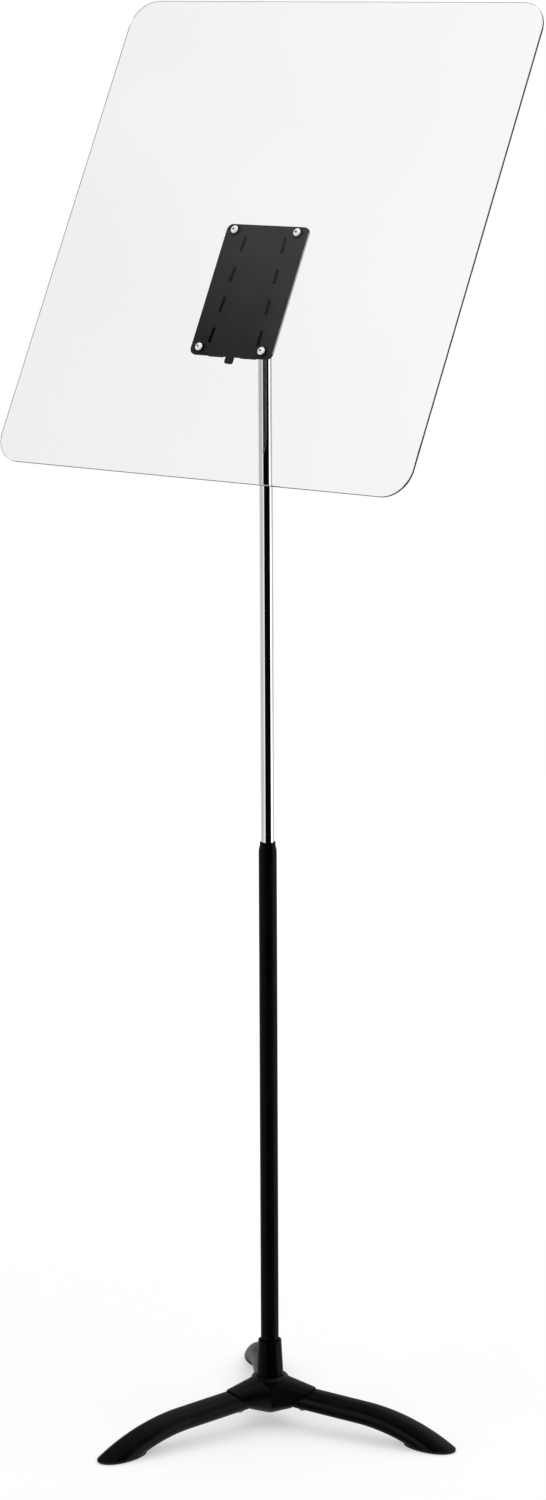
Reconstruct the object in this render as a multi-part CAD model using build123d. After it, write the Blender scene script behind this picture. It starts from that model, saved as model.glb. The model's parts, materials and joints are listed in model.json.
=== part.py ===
from build123d import *
import math
import os

# Driving dimensions, in millimetres and degrees.
# Pieces are drawn with the mast on the Z axis, the floor at Z = 0 and the panel facing -Y.
# The finished stand is set back so that the middle of its footprint is the origin.

# Distance of the mast's axis behind the middle of the footprint
mast_set_back = 23.8

# Legs: bent tubes that leave the hub with a slight fall and end on the floor
leg_bearings = {"left": 131.5, "front": 251.5, "right": 11.5}
leg_od = 29.3
leg_wall = 2.0
leg_fall = 4.3
leg_root = 24.0
leg_bend_start = 127.0
leg_bend_radius = 230.0
foot_fall = 40.0
foot_width = 40.5
foot_depth = 34.0
sole_thickness = 3.0
sole_plug_height = 6.0
sole_edge_radius = 1.2

# Hub: a casting of three lobes, each ending in a slant-cut sleeve round a leg, with a stub inside the leg
hub_axis_height = 40.5
hub_underside = 14.0
hub_top = 61.5
hub_boss_d = 48.0
hub_shoulder_radius = 7.0
lobe_half_width = 25.5
lobe_top = 66.0
lobe_bottom = 10.0
sleeve_wall = 1.5
sleeve_top_reach = 61.0
sleeve_bottom_reach = 32.0
stub_reach = 58.0
leg_screw_reach = 46.0
leg_screw_d = 5.0
leg_screw_head_d = 9.5
leg_screw_head_height = 2.6
leg_screw_bite = 12.0
leg_screw_key_af = 3.0
leg_screw_key_depth = 1.6

# Collar round the foot of the lower tube
collar_height = 45.3
collar_base_d = 33.6
collar_top_d = 28.8
collar_lip = 2.2
collar_lip_depth = 1.6
collar_rim_radius = 0.8

# Bolt that pulls the lower tube into the hub
base_bolt_d = 8.0
base_bolt_af = 13.0
base_bolt_head_height = 5.3
base_bolt_length = 30.0
base_washer_d = 18.0
base_washer_thickness = 1.6
base_recess_d = 21.0
base_recess_depth = 9.0
base_web = 7.0
tube_plug_length = 25.0

# Lower tube with a swaged mouth
tube_od = 22.2
tube_wall = 1.3
tube_top = 742.0
mouth_od = 19.2
mouth_rim = 2.5
swage_length = 9.0
bush_length = 30.0
bush_drop = 2.0
mouth_lip_radius = 0.5

# Mast
mast_od = 15.9
mast_wall = 1.2
mast_overlap = 122.0

# Friction clutch at the foot of the mast
clutch_length = 40.0
clutch_slot_length = 28.0
clutch_slot_width = 1.6
clutch_fingers = 4
clutch_groove_depth = 1.6
clutch_groove_width = 2.4
clutch_groove_rise = 9.0
clutch_ring_wire = 1.2
clutch_ring_gap = 40.0
spindle_d = 9.0
spindle_flange_d = 17.0
spindle_flange_height = 4.0
spindle_plug_length = 30.0
clutch_washer_d = 16.0
clutch_washer_thickness = 1.5
clutch_screw_d = 5.0
clutch_screw_head_d = 9.5
clutch_screw_head_height = 2.8
clutch_screw_length = 18.0
clutch_screw_key_af = 3.0
clutch_screw_key_depth = 1.7

# Tilt head
pivot_height = 1393.9
panel_tilt = 27.6
axle_d = 8.0
axle_af = 13.0
axle_head_height = 5.3
axle_nut_height = 8.0
axle_overhang = 2.0
spring_washer_d = 16.0
spring_washer_thickness = 1.8
spring_washer_sheet = 1.1
friction_washer_d = 21.0
friction_washer_thickness = 1.5
knuckle_od = 22.0
knuckle_neck = 17.0
knuckle_plug_length = 30.0
knuckle_blend = 1.5
knuckle_edge_break = 1.0
rivet_d = 4.0
rivet_head_d = 6.6
rivet_head_height = 1.2
rivet_head_rounding = 0.8
rivet_drop = 12.0

# Bracket: a tapered plate whose two ears are bent back beside a window for the mast
bracket_thickness = 2.5
bracket_top = 76.0
bracket_bottom = 83.2
bracket_edge = 2.0
bracket_corner = 8.0
ear_gap = 26.0
ear_radius = 14.0
ear_root_half = 18.0
window_clearance = 3.0

# Mount plate with two splayed columns of slots and a tongue at its foot
plate_thickness = 3.0
plate_corner = 8.0
plate_margin_x = 14.4
plate_margin_z = 8.4
screw_pitch_x = 92.5
screw_pitch_z = 150.0
slot_length = 20.0
slot_width = 4.8
slot_rows = 4
slot_pitch = 38.8
slot_half_spacing = 32.7
slot_splay = 2.85
lug_recess = 2.2
tongue_width = 11.5
tongue_length = 8.5
tongue_corner = 2.3
plate_edge_break = 0.35

# Clear panel and its fasteners
panel_width = 609.6
panel_height = 609.6
panel_thickness = 3.2
panel_corner = 35.0
panel_rise = 67.4
panel_standoff = 38.0
panel_edge_break = 0.4
panel_screw_d = 5.0
panel_screw_head_d = 9.6
panel_screw_head_height = 3.0
panel_screw_key_af = 3.0
panel_screw_key_depth = 1.8
panel_screw_overhang = 1.5
rubber_washer_d = 13.0
rubber_washer_thickness = 1.4
nut_washer_d = 10.0
nut_washer_thickness = 1.0
panel_nut_af = 8.0
panel_nut_height = 5.0

# Shapes shared by all fasteners
hexagon_sides = 6
nut_collar_share = 0.25
nut_collar_waist = 0.88
head_rim_share = 0.25
drill_overrun = 1.0

# Clearances, each on the radius or on one side
press_fit = 0.04
running_fit = 0.07
bolt_clearance = 0.25
axial_play = 0.1
rivet_clearance = 0.15

# Places that follow from the sizes above
tube_id = tube_od - 2 * tube_wall
mouth_id = mouth_od - 2 * tube_wall
mast_id = mast_od - 2 * mast_wall
tube_seat = hub_underside + base_recess_depth + base_web
mast_foot = tube_top - mast_overlap
mast_head = pivot_height - knuckle_neck
swage_start = tube_top - mouth_rim - swage_length
plate_width = screw_pitch_x + 2 * plate_margin_x
plate_height = screw_pitch_z + 2 * plate_margin_z
panel_back = panel_standoff - panel_thickness
plate_front = panel_back - rubber_washer_thickness
plate_back = plate_front - plate_thickness
knuckle_length = ear_gap - 2 * friction_washer_thickness - 2 * axial_play


def tube_solid(outer, inner, bottom, height):
    """Straight round tube on the Z axis."""
    ring = Circle(outer / 2) - Circle(inner / 2)
    return Pos(0, 0, bottom) * extrude(ring, amount=height)


def hexagon(across_flats):
    return RegularPolygon(across_flats / 2, hexagon_sides, major_radius=False)


def hex_solid(across_flats, height):
    """Hexagon standing on the XY plane, with its top corners turned down."""
    corner_radius = across_flats / 2 / math.cos(math.pi / hexagon_sides)
    blank = extrude(hexagon(across_flats), amount=height)
    turned = extrude(Circle(corner_radius), amount=height)
    turned = chamfer(turned.edges().sort_by(Axis.Z)[-1], corner_radius - across_flats / 2)
    return blank & turned


def lock_nut(across_flats, height, thread_d):
    """Nut with a round collar above its hexagon, standing on the XY plane."""
    collar = height * nut_collar_share
    body = hex_solid(across_flats, height - collar)
    body += Pos(0, 0, height - collar) * extrude(Circle(across_flats / 2 * nut_collar_waist), amount=collar)
    return body - extrude(Circle(thread_d / 2 + press_fit), amount=height)


def hex_bolt(thread_d, length, across_flats, head_height):
    """Bolt with its shank along +Z from the XY plane and its head below."""
    head = Rot(180, 0, 0) * hex_solid(across_flats, head_height)
    return head + extrude(Circle(thread_d / 2), amount=length)


def dome_screw(thread_d, length, head_d, head_height, key_af, key_depth):
    """Screw with its shank along +Z from the XY plane and a domed head with a hexagon key below."""
    rim = head_height * head_rim_share
    dome_r = ((head_d / 2) ** 2 + (head_height - rim) ** 2) / (2 * (head_height - rim))
    mid_drop = dome_r - math.sqrt(dome_r ** 2 - (head_d / 4) ** 2)
    profile = make_face(
        Line((0, 0), (0, -head_height))
        + ThreePointArc((0, -head_height), (head_d / 4, mid_drop - head_height), (head_d / 2, -rim))
        + Polyline((head_d / 2, -rim), (head_d / 2, 0), (0, 0))
    )
    screw = revolve(Plane.XZ * profile, Axis.Z) + extrude(Circle(thread_d / 2), amount=length)
    key = extrude(hexagon(key_af), amount=key_depth)
    return screw - Pos(0, 0, -head_height) * key


def leg_point(reach):
    """Point of a leg's straight centre line at a distance from the mast."""
    return Vector(reach, 0, hub_axis_height - reach * math.tan(math.radians(leg_fall)))


def fall_direction(angle):
    """Unit vector that runs outwards and falls by an angle."""
    return Vector(math.cos(math.radians(angle)), 0, -math.sin(math.radians(angle)))


def section_plane(point, fall):
    """Plane across a leg, with its X axis level and its Y axis up."""
    return Plane(origin=point, x_dir=(0, 1, 0), z_dir=fall_direction(fall))


def leg_form(inset):
    """Solid outline of a leg along +X: a round run, then a bend that widens to the foot."""
    start = leg_point(leg_root)
    bend = leg_point(leg_bend_start)
    run = extrude(section_plane(start, leg_fall) * Circle(leg_od / 2 - inset), amount=(bend - start).length)

    def on_bend(fall):
        centre = bend - leg_bend_radius * fall_normal(leg_fall)
        return centre + leg_bend_radius * fall_normal(fall)

    bend_end = on_bend(foot_fall)
    tip = bend_end + foot_depth * fall_direction(foot_fall)
    route = Wire([
        ThreePointArc(bend, on_bend((leg_fall + foot_fall) / 2), bend_end).edge(),
        Line(bend_end, tip).edge(),
    ])
    first = section_plane(bend, leg_fall) * Circle(leg_od / 2 - inset)
    last = section_plane(tip, foot_fall) * Ellipse(foot_width / 2 - inset, foot_depth / 2 - inset)
    return run + sweep([first, last], path=route, multisection=True)


def fall_normal(angle):
    """Unit vector square to a falling line, on its upper side."""
    return Vector(math.sin(math.radians(angle)), 0, math.cos(math.radians(angle)))


def slab(low, high):
    """Wide layer between two heights, for cutting legs level."""
    reach = 4 * (leg_bend_start + leg_bend_radius)
    return Pos(0, 0, low) * Box(reach, reach, high - low, align=(Align.CENTER, Align.CENTER, Align.MIN))


def leg_screw_plane():
    """Plane on a leg's underside with its Z axis pointing up through the stub."""
    point = leg_point(leg_screw_reach) - leg_od / 2 * fall_normal(leg_fall)
    return Plane(origin=point, x_dir=(0, 1, 0), z_dir=fall_normal(leg_fall))


def make_leg():
    leg = leg_form(0) - leg_form(leg_wall)
    leg &= slab(sole_thickness, 2 * hub_axis_height + foot_depth)
    hole = extrude(Circle(leg_screw_d / 2 + bolt_clearance), amount=2 * leg_wall, both=True)
    return leg - leg_screw_plane() * hole


def make_sole():
    cut_end = (leg_form(0) & slab(sole_thickness, 2 * sole_thickness)).faces().sort_by(Axis.Z)[0]
    pad = extrude(cut_end, amount=sole_thickness, dir=(0, 0, -1))
    pad = fillet(pad.edges().group_by(Axis.Z)[0], sole_edge_radius)
    plug = leg_form(leg_wall + press_fit) & slab(sole_thickness, sole_thickness + sole_plug_height)
    return pad + plug


def make_leg_screw():
    screw = dome_screw(leg_screw_d, leg_wall + leg_screw_bite, leg_screw_head_d, leg_screw_head_height,
                       leg_screw_key_af, leg_screw_key_depth)
    return leg_screw_plane() * screw


def hub_boss():
    """Round shoulder under the collar."""
    drum = Pos(0, 0, hub_axis_height) * extrude(Circle(hub_boss_d / 2), amount=hub_top - hub_axis_height)
    return fillet(drum.edges().sort_by(Axis.Z)[-1], hub_shoulder_radius)


def hub_lobe():
    """Lobe along +X that narrows from the middle of the hub to a slant-cut sleeve round the leg."""
    radius = leg_od / 2 + press_fit + sleeve_wall
    high = leg_point(sleeve_top_reach) + radius * fall_normal(leg_fall)
    low = leg_point(sleeve_bottom_reach) - radius * fall_normal(leg_fall)
    slant = Plane(origin=(high + low) / 2, x_dir=(0, 1, 0), z_dir=Vector(0, 1, 0).cross(high - low))
    mouth = slant * Ellipse(radius, (high - low).length / 2)
    middle = Plane(origin=(0, 0, (lobe_top + lobe_bottom) / 2), x_dir=(0, 1, 0), z_dir=(1, 0, 0))
    root = middle * Ellipse(lobe_half_width, (lobe_top - lobe_bottom) / 2)
    return loft([root, mouth], ruled=True) & slab(hub_underside, hub_top)


def make_hub():
    pocket_r = leg_od / 2 + press_fit
    stub_r = leg_od / 2 - leg_wall - press_fit
    start = section_plane(leg_point(leg_root), leg_fall)
    pocket = extrude(start * (Circle(pocket_r) - Circle(stub_r)), amount=2 * sleeve_top_reach)
    inside = extrude(start * Circle(pocket_r), amount=2 * sleeve_top_reach)
    stub = extrude(section_plane(leg_point(0), leg_fall) * Circle(stub_r), amount=stub_reach)
    pilot_depth = leg_wall + leg_screw_bite + drill_overrun
    pilot = leg_screw_plane() * extrude(Circle(leg_screw_d / 2 + press_fit), amount=pilot_depth)
    hub = hub_boss()
    for bearing in leg_bearings.values():
        hub += Rot(0, 0, bearing) * hub_lobe()
    for bearing in leg_bearings.values():
        hub -= Rot(0, 0, bearing) * inside
    for bearing in leg_bearings.values():
        hub += Rot(0, 0, bearing) * (stub - pilot)
    for bearing in leg_bearings.values():
        hub -= Rot(0, 0, bearing) * pocket
    hub -= Pos(0, 0, tube_seat) * extrude(Circle(tube_od / 2 + press_fit), amount=hub_top)
    hub -= Pos(0, 0, hub_underside) * extrude(Circle(base_recess_d / 2), amount=base_recess_depth)
    hub -= extrude(Circle(base_bolt_d / 2 + bolt_clearance), amount=hub_top)
    return hub


def make_collar():
    outline = make_face(Polyline(
        (tube_od / 2 + press_fit, hub_top),
        (collar_base_d / 2, hub_top),
        (collar_top_d / 2, hub_top + collar_height),
        (tube_od / 2 + collar_lip, hub_top + collar_height),
        (tube_od / 2 + press_fit, hub_top + collar_height - collar_lip_depth),
        close=True,
    ))
    collar = revolve(Plane.XZ * outline, Axis.Z)
    rim = collar.edges().filter_by(GeomType.CIRCLE).group_by(Axis.Z)[-1].sort_by(SortBy.RADIUS)[-1]
    return fillet(rim, collar_rim_radius)


def make_lower_tube():
    straight = Polyline((tube_id / 2, tube_seat), (tube_od / 2, tube_seat), (tube_od / 2, swage_start))
    rim_foot = tube_top - mouth_rim
    swage = Spline((tube_od / 2, swage_start), (mouth_od / 2, rim_foot), tangents=((0, 1), (0, 1)))
    rim = Polyline(
        (mouth_od / 2, rim_foot),
        (mouth_od / 2, tube_top),
        (mouth_id / 2, tube_top),
        (mouth_id / 2, rim_foot),
    )
    inner = Spline((mouth_id / 2, rim_foot), (tube_id / 2, swage_start), tangents=((0, -1), (0, -1)))
    back = Line((tube_id / 2, swage_start), (tube_id / 2, tube_seat))
    tube = revolve(Plane.XZ * make_face(straight + swage + rim + inner + back), Axis.Z)
    lips = tube.edges().filter_by(GeomType.CIRCLE).group_by(Axis.Z)[-1]
    return fillet(lips, mouth_lip_radius)


def make_bush():
    top = swage_start - bush_drop
    return tube_solid(tube_id - 2 * press_fit, mast_od + 2 * running_fit, top - bush_length, bush_length)


def make_tube_plug():
    return tube_solid(tube_id - 2 * press_fit, base_bolt_d + 2 * press_fit, tube_seat, tube_plug_length)


def make_base_washer():
    bottom = hub_underside + base_recess_depth - base_washer_thickness
    return tube_solid(base_washer_d, base_bolt_d + 2 * bolt_clearance, bottom, base_washer_thickness)


def make_base_bolt():
    seat = hub_underside + base_recess_depth - base_washer_thickness
    return Pos(0, 0, seat) * hex_bolt(base_bolt_d, base_bolt_length, base_bolt_af, base_bolt_head_height)


# Heights of the clutch, from the foot of the mast down
flange_foot = mast_foot - spindle_flange_height
sleeve_foot = flange_foot - axial_play - clutch_length
spindle_foot = sleeve_foot - axial_play
groove_height = sleeve_foot + clutch_groove_rise


def make_clutch_sleeve():
    bore_r = spindle_d / 2 + running_fit
    sleeve = tube_solid(tube_id - 2 * running_fit, 2 * bore_r, sleeve_foot, clutch_length)
    sleeve = chamfer(sleeve.edges().filter_by(GeomType.CIRCLE).sort_by(SortBy.RADIUS)[-2:], tube_wall)
    sleeve -= tube_solid(2 * (bore_r + clutch_groove_depth), bore_r,
                         groove_height - clutch_groove_width / 2, clutch_groove_width)
    slot = Box(tube_od, clutch_slot_width, clutch_slot_length, align=(Align.MIN, Align.CENTER, Align.MIN))
    for index in range(clutch_fingers):
        sleeve -= Pos(0, 0, sleeve_foot) * Rot(0, 0, 360 / clutch_fingers * index) * slot
    return sleeve


def make_clutch_ring():
    ring_r = spindle_d / 2 + running_fit + clutch_groove_depth - clutch_ring_wire / 2 - press_fit
    section = Plane.XZ * Pos(ring_r, groove_height) * Circle(clutch_ring_wire / 2)
    return Rot(0, 0, clutch_ring_gap / 2) * revolve(section, Axis.Z, revolution_arc=360 - clutch_ring_gap)


def make_spindle():
    spindle = Pos(0, 0, spindle_foot) * extrude(Circle(spindle_d / 2), amount=flange_foot - spindle_foot)
    spindle += Pos(0, 0, flange_foot) * extrude(Circle(spindle_flange_d / 2), amount=spindle_flange_height)
    spindle += Pos(0, 0, mast_foot) * extrude(Circle(mast_id / 2 - press_fit), amount=spindle_plug_length)
    pilot = extrude(Circle(clutch_screw_d / 2 + press_fit), amount=clutch_screw_length + drill_overrun)
    return spindle - Pos(0, 0, spindle_foot) * pilot


def make_clutch_washer():
    return tube_solid(clutch_washer_d, clutch_screw_d + 2 * bolt_clearance,
                      spindle_foot - clutch_washer_thickness, clutch_washer_thickness)


def make_clutch_screw():
    screw = dome_screw(clutch_screw_d, clutch_washer_thickness + clutch_screw_length, clutch_screw_head_d,
                       clutch_screw_head_height, clutch_screw_key_af, clutch_screw_key_depth)
    return Pos(0, 0, spindle_foot - clutch_washer_thickness) * screw


def rivet_location():
    return Pos(0, 0, mast_head - rivet_drop) * Rot(0, 90, 0)


def make_mast():
    mast = tube_solid(mast_od, mast_id, mast_foot, mast_head - mast_foot)
    return mast - rivet_location() * extrude(Circle(rivet_d / 2 + press_fit), amount=mast_od, both=True)


def make_knuckle():
    barrel = Rot(0, 90, 0) * extrude(Circle(knuckle_od / 2), amount=knuckle_length / 2, both=True)
    barrel = chamfer(barrel.edges().filter_by(GeomType.CIRCLE), knuckle_edge_break)
    neck = Pos(0, 0, -knuckle_neck) * extrude(Circle(mast_od / 2), amount=knuckle_neck)
    plug = Pos(0, 0, -knuckle_neck) * extrude(Circle(mast_id / 2 - press_fit), amount=-knuckle_plug_length)
    knuckle = barrel + neck
    knuckle = fillet(knuckle.edges().filter_by(GeomType.BSPLINE), knuckle_blend)
    knuckle += plug
    knuckle -= Rot(0, 90, 0) * extrude(Circle(axle_d / 2 + running_fit), amount=ear_gap, both=True)
    knuckle = Pos(0, 0, pivot_height) * knuckle
    return knuckle - rivet_location() * extrude(Circle(rivet_d / 2 + press_fit), amount=mast_od, both=True)


def make_rivet():
    half = mast_od / 2 + rivet_clearance
    shank = extrude(Circle(rivet_d / 2), amount=half, both=True)
    head = Pos(0, 0, half) * extrude(Circle(rivet_head_d / 2), amount=rivet_head_height)
    head = fillet(head.edges().sort_by(Axis.Z)[-1], rivet_head_rounding)
    return rivet_location() * (shank + head + Rot(180, 0, 0) * head)


def tilted(shape):
    """Set a piece of the panel's side, drawn upright about the axle, at the panel's rest tilt."""
    return Pos(0, 0, pivot_height) * Rot(-panel_tilt, 0, 0) * shape


def upright(sketch, front, thickness):
    """Sheet drawn as seen from the front, from its front face back by its thickness."""
    face_plane = Plane(origin=(0, -front, 0), x_dir=(1, 0, 0), z_dir=(0, -1, 0))
    return extrude(face_plane * sketch, amount=-thickness)


def screw_places():
    return GridLocations(screw_pitch_x, screw_pitch_z, 2, 2)


def slot_half_at(height):
    """Distance from the middle to a slot column, which splays towards the foot."""
    return slot_half_spacing - height * math.tan(math.radians(slot_splay))


def slot_places():
    places = []
    for row in range(slot_rows):
        height = (row - (slot_rows - 1) / 2) * slot_pitch
        for side in (-1, 1):
            places.append(Pos(side * slot_half_at(height), height) * Rot(0, 0, 90 + side * slot_splay))
    return places


def make_panel():
    outline = Pos(0, panel_rise) * RectangleRounded(panel_width, panel_height, panel_corner)
    holes = [place * Circle(panel_screw_d / 2 + bolt_clearance) for place in screw_places()]
    panel = upright(outline, panel_standoff, panel_thickness)
    panel = chamfer(panel.faces().sort_by(Axis.Y)[0].edges() + panel.faces().sort_by(Axis.Y)[-1].edges(),
                    panel_edge_break)
    for hole in holes:
        panel -= upright(hole, panel_standoff, panel_thickness)
    return tilted(panel)


def make_plate():
    outline = RectangleRounded(plate_width, plate_height, plate_corner)
    tongue = RectangleRounded(tongue_width, 2 * tongue_length, tongue_corner)
    outline += Pos(0, -plate_height / 2) * tongue
    for place in slot_places():
        outline -= place * SlotOverall(slot_length, slot_width)
    for place in screw_places():
        outline -= place * Circle(panel_screw_d / 2 + bolt_clearance)
    plate = upright(outline, plate_front, plate_thickness)
    faces = plate.faces().sort_by(Axis.Y)
    return tilted(chamfer(faces[0].edges() + faces[-1].edges(), plate_edge_break))


def make_bracket():
    def half_at(height):
        return slot_half_at(height) + slot_width / 2 + bracket_edge

    outline = make_face(Polyline(
        (-half_at(bracket_top), bracket_top),
        (half_at(bracket_top), bracket_top),
        (half_at(-bracket_bottom), -bracket_bottom),
        (-half_at(-bracket_bottom), -bracket_bottom),
        close=True,
    ))
    outline = fillet(outline.vertices(), bracket_corner)
    window_top = ear_root_half + window_clearance
    window_height = bracket_bottom + window_top
    window = Pos(0, -bracket_bottom) * Rectangle(ear_gap, window_height, align=(Align.CENTER, Align.MIN))
    sheet = upright(outline - window, plate_back, bracket_thickness)
    for place in slot_places():
        lug = place * SlotOverall(slot_length - 2 * bolt_clearance, slot_width - 2 * bolt_clearance)
        sheet += upright(lug, plate_front - lug_recess, plate_thickness - lug_recess)
    ear_plane = Plane(origin=(ear_gap / 2, 0, 0), x_dir=(0, 1, 0), z_dir=(1, 0, 0))
    ear_face = make_hull(
        (Circle(ear_radius) + Pos(-plate_back + bracket_thickness / 2, 0)
         * Rectangle(bracket_thickness, 2 * ear_root_half)).edges()
    )
    ear_face -= Circle(axle_d / 2 + bolt_clearance)
    ear = extrude(ear_plane * ear_face, amount=bracket_thickness)
    sheet += ear + mirror(ear, about=Plane.YZ)
    return tilted(sheet)


def along_axle(shape):
    """Lay a piece that stands on the XY plane along +X."""
    return Rot(0, 90, 0) * shape


def make_axle():
    seat = -(ear_gap / 2 + bracket_thickness)
    length = ear_gap + 2 * bracket_thickness + spring_washer_thickness + axle_nut_height + axle_overhang
    bolt = hex_bolt(axle_d, length, axle_af, axle_head_height)
    return tilted(Pos(seat, 0, 0) * along_axle(bolt))


def make_friction_washers():
    ring = tube_solid(friction_washer_d, axle_d + 2 * running_fit, 0, friction_washer_thickness)
    inner_face = ear_gap / 2 - friction_washer_thickness
    pair = [Pos(inner_face, 0, 0) * along_axle(ring), Pos(-ear_gap / 2, 0, 0) * along_axle(ring)]
    return Compound([tilted(washer) for washer in pair])


def make_spring_washer():
    face = ear_gap / 2 + bracket_thickness
    cone = make_face(Polyline(
        (axle_d / 2 + bolt_clearance, spring_washer_thickness - spring_washer_sheet),
        (axle_d / 2 + bolt_clearance, spring_washer_thickness),
        (spring_washer_d / 2, spring_washer_sheet),
        (spring_washer_d / 2, 0),
        close=True,
    ))
    return tilted(Pos(face, 0, 0) * along_axle(revolve(Plane.XZ * cone, Axis.Z)))


def make_axle_nut():
    face = ear_gap / 2 + bracket_thickness + spring_washer_thickness
    return tilted(Pos(face, 0, 0) * along_axle(lock_nut(axle_af, axle_nut_height, axle_d)))


def at_screws(shape):
    """Copies of a piece at the four screws; the piece stands on the XY plane, which is the panel's front."""
    into_panel = Plane(origin=(0, -panel_standoff, 0), x_dir=(1, 0, 0), z_dir=(0, 1, 0))
    return Compound([tilted(into_panel * (place * shape)) for place in screw_places()])


def make_panel_screws():
    grip = panel_thickness + rubber_washer_thickness + plate_thickness
    stack = grip + nut_washer_thickness + panel_nut_height
    return at_screws(dome_screw(panel_screw_d, stack + panel_screw_overhang, panel_screw_head_d,
                                panel_screw_head_height, panel_screw_key_af, panel_screw_key_depth))


def make_rubber_washers():
    return at_screws(tube_solid(rubber_washer_d, panel_screw_d + 2 * press_fit, panel_thickness,
                                rubber_washer_thickness))


def make_nut_washers():
    depth = panel_standoff - plate_back
    bore = panel_screw_d + 2 * bolt_clearance
    return at_screws(tube_solid(nut_washer_d, bore, depth, nut_washer_thickness))


def make_panel_nuts():
    depth = panel_standoff - plate_back + nut_washer_thickness
    return at_screws(Pos(0, 0, depth) * lock_nut(panel_nut_af, panel_nut_height, panel_screw_d))


def around_base(shape, bearing):
    return Rot(0, 0, bearing) * shape


pieces = {
    "base_hub": make_hub(),
    "hub_collar": make_collar(),
    "leg_screws": Compound([around_base(make_leg_screw(), bearing) for bearing in leg_bearings.values()]),
    "base_bolt": make_base_bolt(),
    "base_washer": make_base_washer(),
    "tube_plug": make_tube_plug(),
    "lower_tube": make_lower_tube(),
    "mouth_bush": make_bush(),
    "clutch_sleeve": make_clutch_sleeve(),
    "clutch_ring": make_clutch_ring(),
    "clutch_spindle": make_spindle(),
    "clutch_washer": make_clutch_washer(),
    "clutch_screw": make_clutch_screw(),
    "mast_tube": make_mast(),
    "tilt_knuckle": make_knuckle(),
    "knuckle_rivet": make_rivet(),
    "tilt_bracket": make_bracket(),
    "tilt_axle": make_axle(),
    "friction_washers": make_friction_washers(),
    "spring_washer": make_spring_washer(),
    "axle_nut": make_axle_nut(),
    "mount_plate": make_plate(),
    "shield_panel": make_panel(),
    "panel_screws": make_panel_screws(),
    "rubber_washers": make_rubber_washers(),
    "nut_washers": make_nut_washers(),
    "panel_nuts": make_panel_nuts(),
}
leg = make_leg()
sole = make_sole()
for side, bearing in leg_bearings.items():
    pieces[f"leg_{side}"] = around_base(leg, bearing)
    pieces[f"foot_{side}"] = around_base(sole, bearing)

os.makedirs("parts", exist_ok=True)
for name, piece in pieces.items():
    export_step(Pos(0, mast_set_back, 0) * piece, f"parts/{name}.step")
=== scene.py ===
import bmesh
import bpy
import json
import math
from mathutils import Matrix, Vector


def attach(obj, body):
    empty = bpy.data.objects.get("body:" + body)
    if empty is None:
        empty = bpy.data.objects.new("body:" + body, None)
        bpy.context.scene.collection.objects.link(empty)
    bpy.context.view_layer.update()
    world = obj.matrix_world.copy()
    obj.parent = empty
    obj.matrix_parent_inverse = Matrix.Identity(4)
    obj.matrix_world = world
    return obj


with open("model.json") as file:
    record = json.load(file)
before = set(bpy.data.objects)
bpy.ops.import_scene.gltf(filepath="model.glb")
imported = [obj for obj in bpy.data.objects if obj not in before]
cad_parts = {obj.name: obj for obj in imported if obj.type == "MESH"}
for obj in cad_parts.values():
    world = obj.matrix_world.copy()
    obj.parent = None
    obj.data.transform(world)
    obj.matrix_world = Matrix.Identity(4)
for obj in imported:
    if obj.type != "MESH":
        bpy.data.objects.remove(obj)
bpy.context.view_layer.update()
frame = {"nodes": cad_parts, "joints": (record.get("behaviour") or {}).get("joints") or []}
nodes = frame["nodes"]
joints = {joint["name"]: joint for joint in frame["joints"]}
mastAxis = Vector((*joints["mast_swivel"]["pos_m"][:2], 0.0))
scene = bpy.context.scene
scene.view_settings.view_transform = "Standard"
print("frame loaded:", len(nodes), "nodes")


class Wire:
    # an output socket that can be used in Python expressions
    def __init__(self, socket):
        self.socket = socket
        self.tree = socket.id_data

    def node(self, kind, settings=None, inputs=None, output=0):
        made = self.tree.nodes.new(kind)
        for name, value in (settings or {}).items():
            if name == "stops":
                fillRamp(made.color_ramp, value)
            else:
                setattr(made, name, value)
        for name, value in (inputs or {}).items():
            plug(self.tree, made.inputs[name], value)
        return Wire(made.outputs[output])

    def sum(self, operation, first, second=0.0, third=0.0):
        return self.node("ShaderNodeMath", {"operation": operation}, {0: first, 1: second, 2: third})

    def __add__(self, other):
        return self.sum("ADD", self, other)

    def __radd__(self, other):
        return self.sum("ADD", other, self)

    def __sub__(self, other):
        return self.sum("SUBTRACT", self, other)

    def __rsub__(self, other):
        return self.sum("SUBTRACT", other, self)

    def __mul__(self, other):
        return self.sum("MULTIPLY", self, other)

    def __rmul__(self, other):
        return self.sum("MULTIPLY", other, self)


def fillRamp(ramp, stops):
    while len(ramp.elements) < len(stops):
        ramp.elements.new(0.5)
    for element, (place, level) in zip(ramp.elements, stops):
        element.position = place
        element.color = (level, level, level, 1.0)


def plug(tree, socket, value):
    if isinstance(value, Wire):
        tree.links.new(value.socket, socket)
    else:
        socket.default_value = value


def startMaterial(name, **constants):
    material = bpy.data.materials.new(name)
    material.use_nodes = True
    tree = material.node_tree
    shader = tree.nodes["Principled BSDF"]
    for socketName, value in constants.items():
        shader.inputs[socketName.replace("_", " ")].default_value = value
    coords = Wire(tree.nodes.new("ShaderNodeTexCoord").outputs["Object"])
    return material, shader, coords


def feed(shader, **values):
    for socketName, value in values.items():
        plug(shader.id_data, shader.inputs[socketName.replace("_", " ")], value)


def grain(coords, size, stretch=(1.0, 1.0, 1.0), detail=3.0):
    # noise whose lumps are about this many metres across
    place = coords.node("ShaderNodeMapping", {}, {"Vector": coords, "Scale": stretch})
    return coords.node("ShaderNodeTexNoise", {}, {"Vector": place, "Scale": 1.0 / size, "Detail": detail}, "Fac")


# the parts of a noise's range that spread() widens
softSpan, wideSpan, highSpan = (0.35, 0.65), (0.3, 0.7), (0.45, 0.75)


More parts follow.
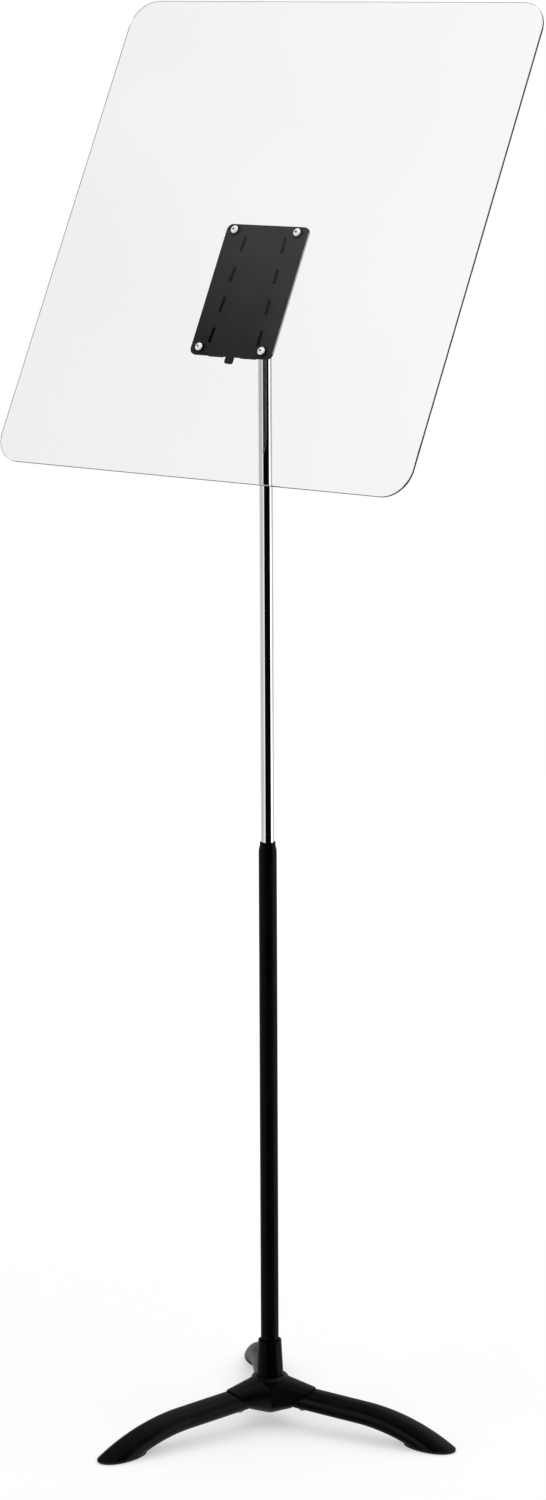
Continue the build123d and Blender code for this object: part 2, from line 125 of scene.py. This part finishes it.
def spread(wire, low, high):
    # widen this part of a value's range to the whole of 0..1
    return wire.node("ShaderNodeMapRange", {}, {0: wire, 1: low, 2: high, 3: 0.0, 4: 1.0})


def tint(factor, dark, light):
    ends = [end if isinstance(end, Wire) else (*end, 1.0) for end in (dark, light)]
    return factor.node("ShaderNodeMix", {"data_type": "RGBA"}, {0: factor, 6: ends[0], 7: ends[1]}, 2)


bevelSamples = 6


def bump(height, depth, edge=0.0):
    # fine relief, over edges that are rounded off in the light by this many metres
    inputs = {"Height": height, "Distance": depth}
    if edge:
        inputs["Normal"] = height.node("ShaderNodeBevel", {"samples": bevelSamples}, {"Radius": edge})
    return height.node("ShaderNodeBump", {}, inputs)


def axisOf(coords, axis):
    return coords.node("ShaderNodeSeparateXYZ", {}, {"Vector": coords}, axis)


# satin black coat of the base and the lower tube
satin = {"dark": (0.0006, 0.0006, 0.0006), "light": (0.0018, 0.0017, 0.0017), "spread": 0.10, "peel": 0.0016,
         "peelDepth": 0.00004, "cloud": 0.05}
satinCoats = {"hubCoat": {"ior": 1.27, "roughness": 0.30, "edge": 0.0010},
              "legCoat": {"ior": 1.27, "roughness": 0.28, "edge": 0.0},
              "tubeCoat": {"ior": 1.17, "roughness": 0.32, "edge": 0.0}}


def satinBlack(name):
    coat = satinCoats[name]
    material, shader, coords = startMaterial(name, IOR=coat["ior"])
    cloud = spread(grain(coords, satin["cloud"]), *softSpan)
    peel = grain(coords, satin["peel"], detail=1.5)
    feed(shader, Base_Color=tint(cloud, satin["dark"], satin["light"]),
         Roughness=coat["roughness"] + satin["spread"] * cloud,
         Normal=bump(peel, satin["peelDepth"], coat["edge"]))
    return material


# bright chrome with fine drawn lines along the mast
chrome = {"dark": (0.80, 0.81, 0.83), "light": (0.90, 0.91, 0.92), "roughness": 0.025, "scuff": 0.05,
          "line": 0.0007, "stretch": (1.0, 1.0, 0.01), "smear": 0.03}


def brightChrome():
    material, shader, coords = startMaterial("brightChrome", Metallic=1.0)
    lines = spread(grain(coords, chrome["line"], chrome["stretch"]), *wideSpan)
    smear = spread(grain(coords, chrome["smear"]), *highSpan)
    feed(shader, Base_Color=tint(lines, chrome["dark"], chrome["light"]),
         Roughness=chrome["roughness"] + chrome["scuff"] * smear * lines)
    return material


# textured powder coat of the mount plate, with a painted highlight on its long sides, where the colour turns light
# grey
powder = {"dark": (0.0182, 0.0192, 0.0218), "light": (0.0338, 0.0356, 0.0402), "roughness": 0.52, "grit": 0.0009,
          "gritDepth": 0.00012, "gritShare": 0.6, "cloud": 0.04, "cloudShare": 0.4, "rough": 0.12,
          "side": 0.06035, "sideSoft": 0.0002, "highlightGrey": (0.40, 0.39, 0.38)}


def powderCoat():
    material, shader, coords = startMaterial("powderCoat", Specular_IOR_Level=0.2)
    grit = grain(coords, powder["grit"], detail=2.0)
    cloud = grain(coords, powder["cloud"])
    mixed = grit * powder["gritShare"] + cloud * powder["cloudShare"]
    coat = tint(spread(mixed, *softSpan), powder["dark"], powder["light"])
    # painted highlight: beyond the side line the coat turns light grey, standing in for light on the plate's side
    # faces
    out = coords.sum("ABSOLUTE", axisOf(coords, "X"))
    paintedSideHighlight = spread(out, powder["side"], powder["side"] + powder["sideSoft"])
    feed(shader, Base_Color=tint(paintedSideHighlight, coat, powder["highlightGrey"]),
         Roughness=powder["roughness"] + powder["rough"] * grit, Normal=bump(grit, powder["gritDepth"]))
    return material


# zinc plate of the fasteners; the heads in front wear a less metallic copy that renders whiter, a painted highlight
# on the heads
zinc = {"dark": (0.86, 0.87, 0.88), "light": (0.97, 0.97, 0.96), "roughness": 0.28, "rough": 0.16,
        "mottle": 0.004, "pit": 0.0012, "pitDepth": 0.00002}
zincMetal = {"headHighlightZinc": 0.10, "greyZinc": 0.75}


def zincPlate(name):
    material, shader, coords = startMaterial(name, Metallic=zincMetal[name])
    mottle = spread(grain(coords, zinc["mottle"]), *softSpan)
    pit = grain(coords, zinc["pit"])
    feed(shader, Base_Color=tint(mottle, zinc["dark"], zinc["light"]),
         Roughness=zinc["roughness"] + zinc["rough"] * mottle * pit, Normal=bump(pit, zinc["pitDepth"]))
    return material


# tumbled casting of the knuckle
cast = {"dark": (0.22, 0.22, 0.23), "light": (0.36, 0.36, 0.37), "roughness": 0.38, "rough": 0.15,
        "pit": 0.0011, "pitDepth": 0.00006}


def tumbledCast():
    material, shader, coords = startMaterial("tumbledCast", Metallic=1.0)
    pit = grain(coords, cast["pit"])
    feed(shader, Base_Color=tint(spread(pit, *wideSpan), cast["dark"], cast["light"]),
         Roughness=cast["roughness"] + cast["rough"] * pit, Normal=bump(pit, cast["pitDepth"]))
    return material


# dull moulded pieces: soles, washers, bushes
dull = {"soleRubber": {"dark": (0.010, 0.010, 0.010), "light": (0.024, 0.024, 0.024), "roughness": 0.72},
        "washerRubber": {"dark": (0.006, 0.006, 0.006), "light": (0.014, 0.014, 0.014), "roughness": 0.60},
        "blackNylon": {"dark": (0.010, 0.010, 0.011), "light": (0.018, 0.018, 0.019), "roughness": 0.42},
        "brownFibre": {"dark": (0.12, 0.055, 0.025), "light": (0.24, 0.12, 0.06), "roughness": 0.75}}
dullGrain = {"size": 0.0008, "depth": 0.00005, "rough": 0.1}


def dullMould(name):
    look = dull[name]
    material, shader, coords = startMaterial(name, Specular_IOR_Level=0.35)
    speck = grain(coords, dullGrain["size"])
    feed(shader, Base_Color=tint(spread(speck, *wideSpan), look["dark"], look["light"]),
         Roughness=look["roughness"] + dullGrain["rough"] * speck, Normal=bump(speck, dullGrain["depth"]))
    return material


# clear cast sheet, polished on its faces and sawn at its edges
sheet = {"dark": (0.94, 0.94, 0.94), "light": (0.998, 0.998, 0.998), "ior": 1.49, "haze": 0.004, "cloud": 0.22,
         "cloudShare": 0.2, "reach": 0.30, "reachShare": 0.8, "half": 0.3048, "corner": 0.035, "rise": 0.0674,
         "lean": 27.6, "edge": (0.42, 0.44, 0.44), "edgeHaze": 0.25, "edgeDepth": 0.0004, "edgeFade": 0.0002,
         "saw": 0.0015}


def clearSheet():
    material, shader, coords = startMaterial("clearSheet", Transmission_Weight=1.0, IOR=sheet["ior"])
    flat = coords.node("ShaderNodeMapping", {"vector_type": "TEXTURE"},
                       {"Vector": coords, "Location": joints["shield_tilt"]["pos_m"],
                        "Rotation": (math.radians(-sheet["lean"]), 0.0, 0.0)})
    straight = sheet["half"] - sheet["corner"]
    sideways = coords.sum("MAXIMUM", coords.sum("ABSOLUTE", axisOf(flat, "X")) - straight, 0.0)
    upward = coords.sum("MAXIMUM", coords.sum("ABSOLUTE", axisOf(flat, "Z") - sheet["rise"]) - straight, 0.0)
    out = coords.sum("SQRT", sideways * sideways + upward * upward)
    sawn = spread(out, sheet["corner"] - sheet["edgeDepth"], sheet["corner"] - sheet["edgeFade"])
    cloud = spread(grain(coords, sheet["cloud"], detail=1.0), *wideSpan)
    # painted shade and sheen: the clear colour darkens towards low X and lightens towards high X across the sheet,
    # with a random cloud on top
    paintedShadeAcross = spread(axisOf(coords, "X"), -sheet["reach"], sheet["reach"])
    clear = tint(paintedShadeAcross * sheet["reachShare"] + cloud * sheet["cloudShare"], sheet["dark"], sheet["light"])
    saw = grain(coords, sheet["saw"])
    feed(shader, Base_Color=tint(sawn, clear, sheet["edge"]),
         Roughness=sheet["haze"] * cloud + sheet["edgeHaze"] * sawn * saw)
    return material


# which finish each node wears
finishes = {
    satinBlack("hubCoat"): ["base_hub"],
    satinBlack("legCoat"): ["leg_left", "leg_front", "leg_right"],
    # painted shade in the plate's slots: the tilt bracket wears this satin black, far darker than the plate's
    # powder coat, so its lugs read dark in the slots
    satinBlack("tubeCoat"): ["lower_tube", "hub_collar", "tilt_bracket"],
    brightChrome(): ["mast_tube"],
    powderCoat(): ["mount_plate"],
    # painted highlight: the panel screws' heads wear the less metallic zinc copy, which renders whiter
    zincPlate("headHighlightZinc"): ["panel_screws"],
    zincPlate("greyZinc"): ["leg_screws", "base_bolt", "base_washer", "tube_plug", "clutch_screw",
                            "clutch_washer", "clutch_spindle", "clutch_ring", "knuckle_rivet", "tilt_axle",
                            "spring_washer", "axle_nut", "nut_washers", "panel_nuts"],
    tumbledCast(): ["tilt_knuckle"],
    dullMould("soleRubber"): ["foot_left", "foot_front", "foot_right"],
    dullMould("washerRubber"): ["rubber_washers"],
    dullMould("blackNylon"): ["mouth_bush", "clutch_sleeve"],
    dullMould("brownFibre"): ["friction_washers"],
    clearSheet(): ["shield_panel"],
}
for material, names in finishes.items():
    for name in names:
        nodes[name].data.materials.clear()
        nodes[name].data.materials.append(material)
nodes["shield_panel"].visible_shadow = False  # light reaches the plate behind the clear sheet
print("finishes on", sum(len(names) for names in finishes.values()), "nodes")

# details on the tilt head's fasteners, drawn upright about the axle
head = {"lean": 27.6, "pitchX": 0.0925, "pitchZ": 0.150, "front": 0.038, "socketFloor": -0.0012, "nutTop": 0.0136,
        "axleNutTop": 0.0253}
upright = Matrix.Translation(joints["shield_tilt"]["pos_m"]) @ Matrix.Rotation(math.radians(-head["lean"]), 4, "X")
axleEnd = upright @ Matrix.Translation((head["axleNutTop"], 0.0, 0.0)) @ Matrix.Rotation(math.radians(90.0), 4, "Y")
screwPlaces = [upright @ Matrix.Translation((x * head["pitchX"] / 2.0, -head["front"], z * head["pitchZ"] / 2.0))
               @ Matrix.Rotation(math.radians(-90.0), 4, "X") for x in (-1.0, 1.0) for z in (-1.0, 1.0)]
screwEnds = [place @ Matrix.Translation((0.0, 0.0, head["nutTop"])) for place in screwPlaces]
screwSockets = [place @ Matrix.Translation((0.0, 0.0, head["socketFloor"])) for place in screwPlaces]


def turned(bm, points, steps, turns=1.0, pitch=0.0):
    # spin a profile of (radius, height) points about Z, rising by the pitch in each turn
    verts = [bm.verts.new((radius, 0.0, height)) for radius, height in points]
    edges = [bm.edges.new(pair) for pair in zip(verts, verts[1:])]
    if not pitch:
        edges.append(bm.edges.new((verts[-1], verts[0])))
    bmesh.ops.spin(bm, geom=verts + edges, cent=(0.0, 0.0, 0.0), axis=(0.0, 0.0, 1.0), angle=math.tau * turns,
                   steps=int(steps * turns), dvec=(0.0, 0.0, pitch / steps), use_merge=not pitch)


def addPiece(name, material, places, build):
    bm = bmesh.new()
    for place in places:
        old = set(bm.verts)
        build(bm)
        bmesh.ops.transform(bm, matrix=place, verts=[vert for vert in bm.verts if vert not in old])
    bmesh.ops.recalc_face_normals(bm, faces=bm.faces)
    mesh = bpy.data.meshes.new(name)
    bm.to_mesh(mesh)
    bm.free()
    mesh.materials.append(material)
    piece = bpy.data.objects.new(name, mesh)
    scene.collection.objects.link(piece)
    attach(piece, "shield")


# locking rings let into the collars of the nuts
rings = {"panelRing": {"inner": 0.00262, "outer": 0.00315, "proud": 0.00025},
         "axleRing": {"inner": 0.00415, "outer": 0.0050, "proud": 0.0004}}
ringSteps = 40


def lockRing(size):
    points = [(size["inner"], -size["proud"]), (size["outer"], -size["proud"]), (size["outer"], size["proud"]),
              (size["inner"], size["proud"])]
    return lambda bm: turned(bm, points, ringSteps)


# threads on the ends that stand out of the nuts
threads = {"panelThread": {"radius": 0.0025, "pitch": 0.0008, "depth": 0.00022, "turns": 1.25},
           "axleThread": {"radius": 0.0040, "pitch": 0.00125, "depth": 0.00035, "turns": 1.2}}
threadSteps = 40


def threadRidge(size):
    half = size["pitch"] / 2.0
    points = [(size["radius"], 0.0), (size["radius"] + size["depth"], half), (size["radius"], 2.0 * half)]
    return lambda bm: turned(bm, points, threadSteps, size["turns"], size["pitch"])


# painted shade: a dark disc at the bottom of the key sockets, standing in for the shade in the recesses
paintedShade = {"radius": 0.0016, "rim": 0.00042, "depth": 0.0007, "sides": 24, "weld": 1e-6}


def paintedSocketShade(bm):
    points = [(0.0, 0.0), (paintedShade["radius"], 0.0), (paintedShade["radius"], -paintedShade["rim"]), (0.0, -paintedShade["depth"])]
    turned(bm, points, paintedShade["sides"])
    bmesh.ops.remove_doubles(bm, verts=bm.verts, dist=paintedShade["weld"])


nylonMaterial = nodes["mouth_bush"].data.materials[0]
rubberMaterial = nodes["rubber_washers"].data.materials[0]
zincMaterial = nodes["panel_nuts"].data.materials[0]
addPiece("panelRings", nylonMaterial, screwEnds, lockRing(rings["panelRing"]))
addPiece("axleRing", nylonMaterial, [axleEnd], lockRing(rings["axleRing"]))
addPiece("panelThreads", zincMaterial, screwEnds, threadRidge(threads["panelThread"]))
addPiece("axleThread", zincMaterial, [axleEnd], threadRidge(threads["axleThread"]))
# painted shade in the key sockets, in the washers' dark rubber
addPiece("socketPaintedShade", rubberMaterial, screwSockets, paintedSocketShade)
print("rings, threads and socket residue on the tilt head")

# camera, as fitted to the picture's edges
view = {"azimuth": 37.56, "distance": 4.5622, "height": 1.7847, "pitch": 11.512, "yaw": 0.087, "roll": -0.23,
        "lens": 92.566, "sensor": 36.0}


def placeCamera():
    data = bpy.data.cameras.new("pictureCamera")
    data.lens = view["lens"]
    data.sensor_width = view["sensor"]
    camera = bpy.data.objects.new("pictureCamera", data)
    scene.collection.objects.link(camera)
    bearing = math.radians(view["azimuth"])
    spot = mastAxis + Vector((math.sin(bearing), -math.cos(bearing), 0.0)) * view["distance"]
    spot.z = view["height"]
    turn = Matrix.Rotation(bearing - math.radians(view["yaw"]), 4, "Z")
    nod = Matrix.Rotation(math.radians(90.0 - view["pitch"]), 4, "X")
    lean = Matrix.Rotation(math.radians(view["roll"]), 4, "Z")
    camera.matrix_world = Matrix.Translation(spot) @ turn @ nod @ lean
    scene.camera = camera


placeCamera()

# pale floor under the stand, set back so that little of it lies in front
floorLook = {"radius": 2.4, "segments": 96, "setBack": 1.6, "drop": 0.0005, "colour": 0.52, "roughness": 0.9,
             "lift": 0.41, "farLift": 0.62, "fadeStart": 0.4, "fadeEnd": 3.2}


def cameraLike(tree):
    # 1 for the rays that should see a white floor, and not for those turned at the clear sheet's edges
    path = tree.nodes.new("ShaderNodeLightPath")
    seen = Wire(path.outputs["Is Camera Ray"])
    bounced = seen.sum("MINIMUM", Wire(path.outputs["Glossy Depth"]), 1.0)
    through = Wire(path.outputs["Is Transmission Ray"]) * (1.0 - bounced)
    return seen.sum("MINIMUM", seen + through, 1.0)


def makeFloor():
    mesh = bpy.data.meshes.new("floor")
    bm = bmesh.new()
    bmesh.ops.create_circle(bm, cap_ends=True, segments=floorLook["segments"], radius=floorLook["radius"])
    away = math.radians(view["azimuth"] + 180.0)
    centre = mastAxis + Vector((math.sin(away), -math.cos(away), 0.0)) * floorLook["setBack"]
    bmesh.ops.translate(bm, verts=bm.verts, vec=centre - Vector((0.0, 0.0, floorLook["drop"])))
    bm.to_mesh(mesh)
    bm.free()
    floor = bpy.data.objects.new("floor", mesh)
    scene.collection.objects.link(floor)
    level = floorLook["colour"]
    material, shader, coords = startMaterial("paleFloor", Base_Color=(level, level, level, 1.0),
                                             Roughness=floorLook["roughness"], Specular_IOR_Level=0.0,
                                             Emission_Strength=1.0)
    # painted shade round the base: the camera-seen glow is dimmer near the stand and rises to the far level further
    # off
    reach = coords.node("ShaderNodeVectorMath", {"operation": "DISTANCE"}, {0: coords, 1: mastAxis}, "Value")
    glow = coords.node("ShaderNodeMapRange", {"interpolation_type": "SMOOTHSTEP"},
                       {0: reach, 1: floorLook["fadeStart"], 2: floorLook["fadeEnd"], 3: floorLook["lift"],
                        4: floorLook["farLift"]})
    feed(shader, Emission_Color=cameraLike(material.node_tree) * glow)
    mesh.materials.append(material)
    floor.visible_glossy = False  # mirrors see the surround's own ground


makeFloor()

# white surround; mirrored, it is a studio with a dark wall on the camera's side, by bearing and by height
surround = {"ambient": 0.62,
            "walls": [(-180, 0.50), (-150, 0.62), (-80, 0.60), (-62, 0.66), (-50, 1.0), (-42, 1.1), (-37, 0.002),
                      (66, 0.002), (70, 2.2), (94, 2.0), (98, 0.25), (112, 0.25), (118, 0.80), (155, 0.45),
                      (180, 0.50)],
            "ground": [(-180, 0.40), (-110, 0.14), (-50, 0.08), (-5, 0.10), (40, 0.35), (100, 0.45), (150, 0.40),
                       (180, 0.40)],
            "wallShare": [(-0.50, 0.0), (-0.30, 1.0), (0.15, 1.0), (0.30, 0.0)],
            "groundShare": [(-0.50, 1.0), (-0.30, 0.0)],
            "ceiling": [(0.15, 0.0), (0.30, 0.04), (0.57, 0.0), (0.586, 0.0), (0.613, 0.28), (0.66, 0.29),
                        (0.80, 0.29)],
            "skylight": [(-180, 0.35), (-150, 0.0), (45, 0.0), (70, 0.55), (150, 0.55), (180, 0.35)],
            "skyShare": [(0.15, 0.0), (0.40, 1.0)]}


def lightWorld():
    world = bpy.data.worlds.new("surround")
    world.use_nodes = True
    scene.world = world
    tree = world.node_tree
    background = tree.nodes["Background"]
    path = tree.nodes.new("ShaderNodeLightPath")
    isCamera = Wire(path.outputs["Is Camera Ray"])
    isThrough = Wire(path.outputs["Is Transmission Ray"])
    isMirrored = isCamera.sum("MINIMUM", Wire(path.outputs["Glossy Depth"]), 1.0)
    ray = Wire(tree.nodes.new("ShaderNodeTexCoord").outputs["Generated"])

    def along(turn):
        bearing = math.radians(view["azimuth"] + turn)
        axis = (math.sin(bearing), -math.cos(bearing), 0.0)
        return ray.node("ShaderNodeVectorMath", {"operation": "DOT_PRODUCT"}, {0: ray, 1: axis}, "Value")

    def ramp(place, name, span):
        stops = [(at / span + 0.5, level) for at, level in surround[name]]
        return place.node("ShaderNodeValToRGB", {"stops": stops}, {"Fac": place})

    turn = ray.sum("ARCTAN2", along(90.0), along(0.0)) * (0.5 / math.pi) + 0.5
    height = axisOf(ray, "Z") * 0.5 + 0.5
    mirrored = (ramp(turn, "walls", 360.0) * ramp(height, "wallShare", 2.0)
                + ramp(turn, "ground", 360.0) * ramp(height, "groundShare", 2.0)
                + ramp(turn, "skylight", 360.0) * ramp(height, "skyShare", 2.0) + ramp(height, "ceiling", 2.0))
    seen = isCamera.sum("MINIMUM", isCamera + isThrough, 1.0)
    plain = seen + (1.0 - seen) * surround["ambient"]
    level = isMirrored * mirrored + (1.0 - isMirrored) * plain
    feed(background, Color=level, Strength=1.0)


lightWorld()

# soft lamps, by bearing from the camera's own bearing
lamps = {"key": {"turn": 70.0, "rise": 48.0, "away": 3.4, "size": 2.2, "power": 41.0},
         "fill": {"turn": -65.0, "rise": 35.0, "away": 3.6, "size": 2.4, "power": 41.0},
         "back": {"turn": 170.0, "rise": 55.0, "away": 3.2, "size": 2.2, "power": 34.0}}
lampAim = Vector((0.0, 0.0, 0.8))


def hangLamps():
    for name, lamp in lamps.items():
        data = bpy.data.lights.new(name, "AREA")
        data.energy = lamp["power"]
        data.size = lamp["size"]
        bearing = math.radians(view["azimuth"] + lamp["turn"])
        rise = math.radians(lamp["rise"])
        out = Vector((math.sin(bearing) * math.cos(rise), -math.cos(bearing) * math.cos(rise), math.sin(rise)))
        light = bpy.data.objects.new(name, data)
        light.location = mastAxis + lampAim + out * lamp["away"]
        light.rotation_euler = out.to_track_quat("Z", "Y").to_euler()
        light.visible_glossy = False
        light.visible_transmission = False
        scene.collection.objects.link(light)


hangLamps()
print("floor, surround and lamps placed")
